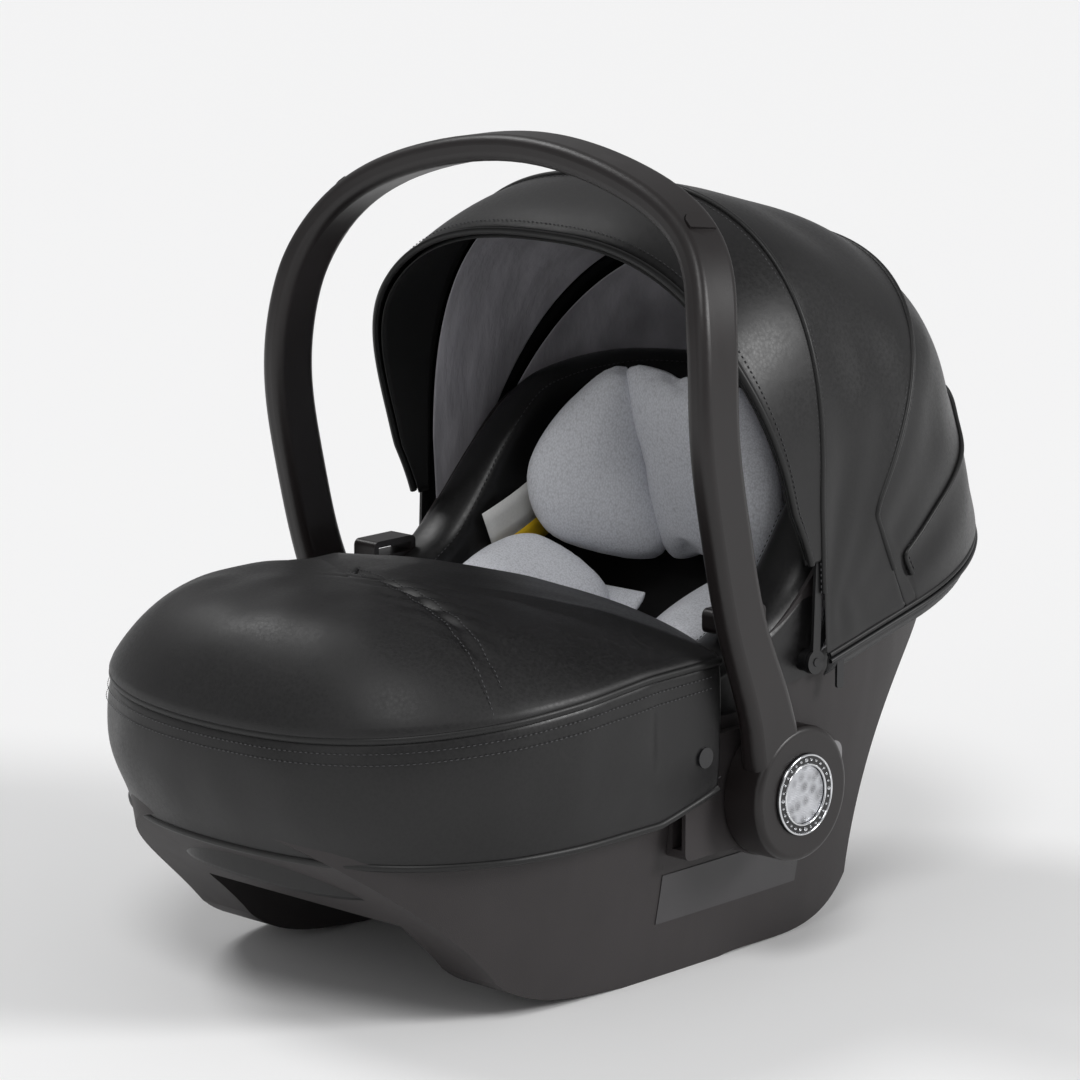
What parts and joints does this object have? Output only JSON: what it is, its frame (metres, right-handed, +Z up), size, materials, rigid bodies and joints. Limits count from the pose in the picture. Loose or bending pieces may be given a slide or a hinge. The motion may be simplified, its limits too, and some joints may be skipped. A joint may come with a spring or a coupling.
{
  "type": "infant car seat",
  "caption": "Rearward-facing infant carrier with a rocker shell, bow carry handle on round pivots, folding hooped canopy, padded inserts, harness and a lift-off leather foot apron.",
  "frame": {"origin": "on the floor, at the middle of the footprint of the whole seat", "axes": "+Z up, +X to the seat's side, -Y towards the foot end, +Y towards the head end"},
  "size_m": [0.456, 0.7499, 0.598],
  "materials": {
    "shell_plastic": "matt",
    "foam": "expanded foam",
    "leather": "pebbled, semi-gloss",
    "lining": "satin",
    "insert_fabric": "fine honeycomb weave",
    "webbing": "woven",
    "black_plastic": "satin",
    "button_grey": "satin",
    "steel": "plain",
    "chrome": "polished",
    "silver": "satin",
    "gloss_black": "gloss",
    "label": "printed label stock, blank"
  },
  "bodies": {
    "seat": {"outer_shell": "shell_plastic", "foam_liner": "foam", "cover_bolster": "leather", "cover_skirt": "leather", "cover_lining": "lining", "head_pillow": "insert_fabric", "body_cushion": "insert_fabric", "shoulder_strap_right": "webbing", "shoulder_strap_left": "webbing", "shoulder_pad_right": "insert_fabric", "shoulder_pad_left": "insert_fabric", "buckle_tongue_right": "steel", "buckle_tongue_left": "steel", "buckle_body": "black_plastic", "crotch_strap": "webbing", "adjuster_housing": "black_plastic", "adjuster_strap": "webbing", "belt_guide_right": "black_plastic", "belt_guide_left": "black_plastic", "pivot_housing_right": "shell_plastic", "pivot_housing_left": "shell_plastic", "pivot_pin_right": "steel", "pivot_pin_left": "steel", "side_label": "label", "canopy_hinge_right": "black_plastic", "canopy_hinge_left": "black_plastic", "canopy_rear_panel": "leather", "zip": "webbing", "zip_slider": "gloss_black"},
    "handle": {"carry_handle": "black_plastic", "badge_ring_right": "chrome", "badge_ring_left": "chrome", "badge_face_right": "silver", "badge_face_left": "silver"},
    "thumb_button_right": {"handle_button_right": "gloss_black"},
    "thumb_button_left": {"handle_button_left": "gloss_black"},
    "canopy_mid": {"canopy_mid_panel": "leather", "canopy_hoop_mid": "black_plastic"},
    "canopy_front": {"canopy_front_panel": "leather", "canopy_hoop_front": "black_plastic", "canopy_visor": "leather"},
    "lever_right": {"release_lever_right": "button_grey"},
    "lever_left": {"release_lever_left": "button_grey"},
    "buckle_press": {"buckle_button": "button_grey"},
    "adjuster_press": {"adjuster_button": "button_grey"},
    "pull": {"zip_pull": "gloss_black"},
    "foot_apron": {"apron": "leather", "apron_snap_right": "gloss_black", "apron_snap_left": "gloss_black"}
  },
  "joints": [
    {"name": "handle_swing", "type": "hinge", "parent": "seat", "child": "handle", "pos_m": [0, 0.01, 0.135], "axis": [1, 0, 0], "range_deg": [-105, 0]},
    {"name": "handle_button_press_right", "type": "slide", "parent": "handle", "child": "thumb_button_right", "axis": [-0.5872, 0, -0.8094], "range_m": [0, 0.003], "stiffness_N_per_m": 400, "springref_m": -0.001},
    {"name": "handle_button_press_left", "type": "slide", "parent": "handle", "child": "thumb_button_left", "axis": [0.5872, 0, -0.8094], "range_m": [0, 0.003], "stiffness_N_per_m": 400, "springref_m": -0.001},
    {"name": "canopy_mid_fold", "type": "hinge", "parent": "seat", "child": "canopy_mid", "pos_m": [0, 0.053, 0.221], "axis": [1, 0, 0], "range_deg": [-28, 0]},
    {"name": "canopy_front_fold", "type": "hinge", "parent": "canopy_mid", "child": "canopy_front", "pos_m": [0, 0.053, 0.221], "axis": [1, 0, 0], "range_deg": [-28, 0]},
    {"name": "release_lever_pull_right", "type": "slide", "parent": "seat", "child": "lever_right", "axis": [0, 1, 0], "range_m": [0, 0.006], "stiffness_N_per_m": 300, "springref_m": -0.001},
    {"name": "release_lever_pull_left", "type": "slide", "parent": "seat", "child": "lever_left", "axis": [0, 1, 0], "range_m": [0, 0.006], "stiffness_N_per_m": 300, "springref_m": -0.001},
    {"name": "buckle_button_press", "type": "slide", "parent": "seat", "child": "buckle_press", "axis": [0, 0, -1], "range_m": [0, 0.003], "stiffness_N_per_m": 500, "springref_m": -0.001},
    {"name": "adjuster_button_press", "type": "slide", "parent": "seat", "child": "adjuster_press", "axis": [0, 0, -1], "range_m": [0, 0.003], "stiffness_N_per_m": 400, "springref_m": -0.001},
    {"name": "zip_pull_swing", "type": "hinge", "parent": "seat", "child": "pull", "pos_m": [0.1993, 0.082, 0.2225], "axis": [1, 0, 0], "range_deg": [-45, 45]},
    {"name": "apron_lift", "type": "slide", "parent": "seat", "child": "foot_apron", "axis": [0, 0, 1], "range_m": [0, 0.1]}
  ],
  "couplings": [
    {"joint": "canopy_front_fold", "follows": "canopy_mid_fold", "ratio": 1}
  ]
}
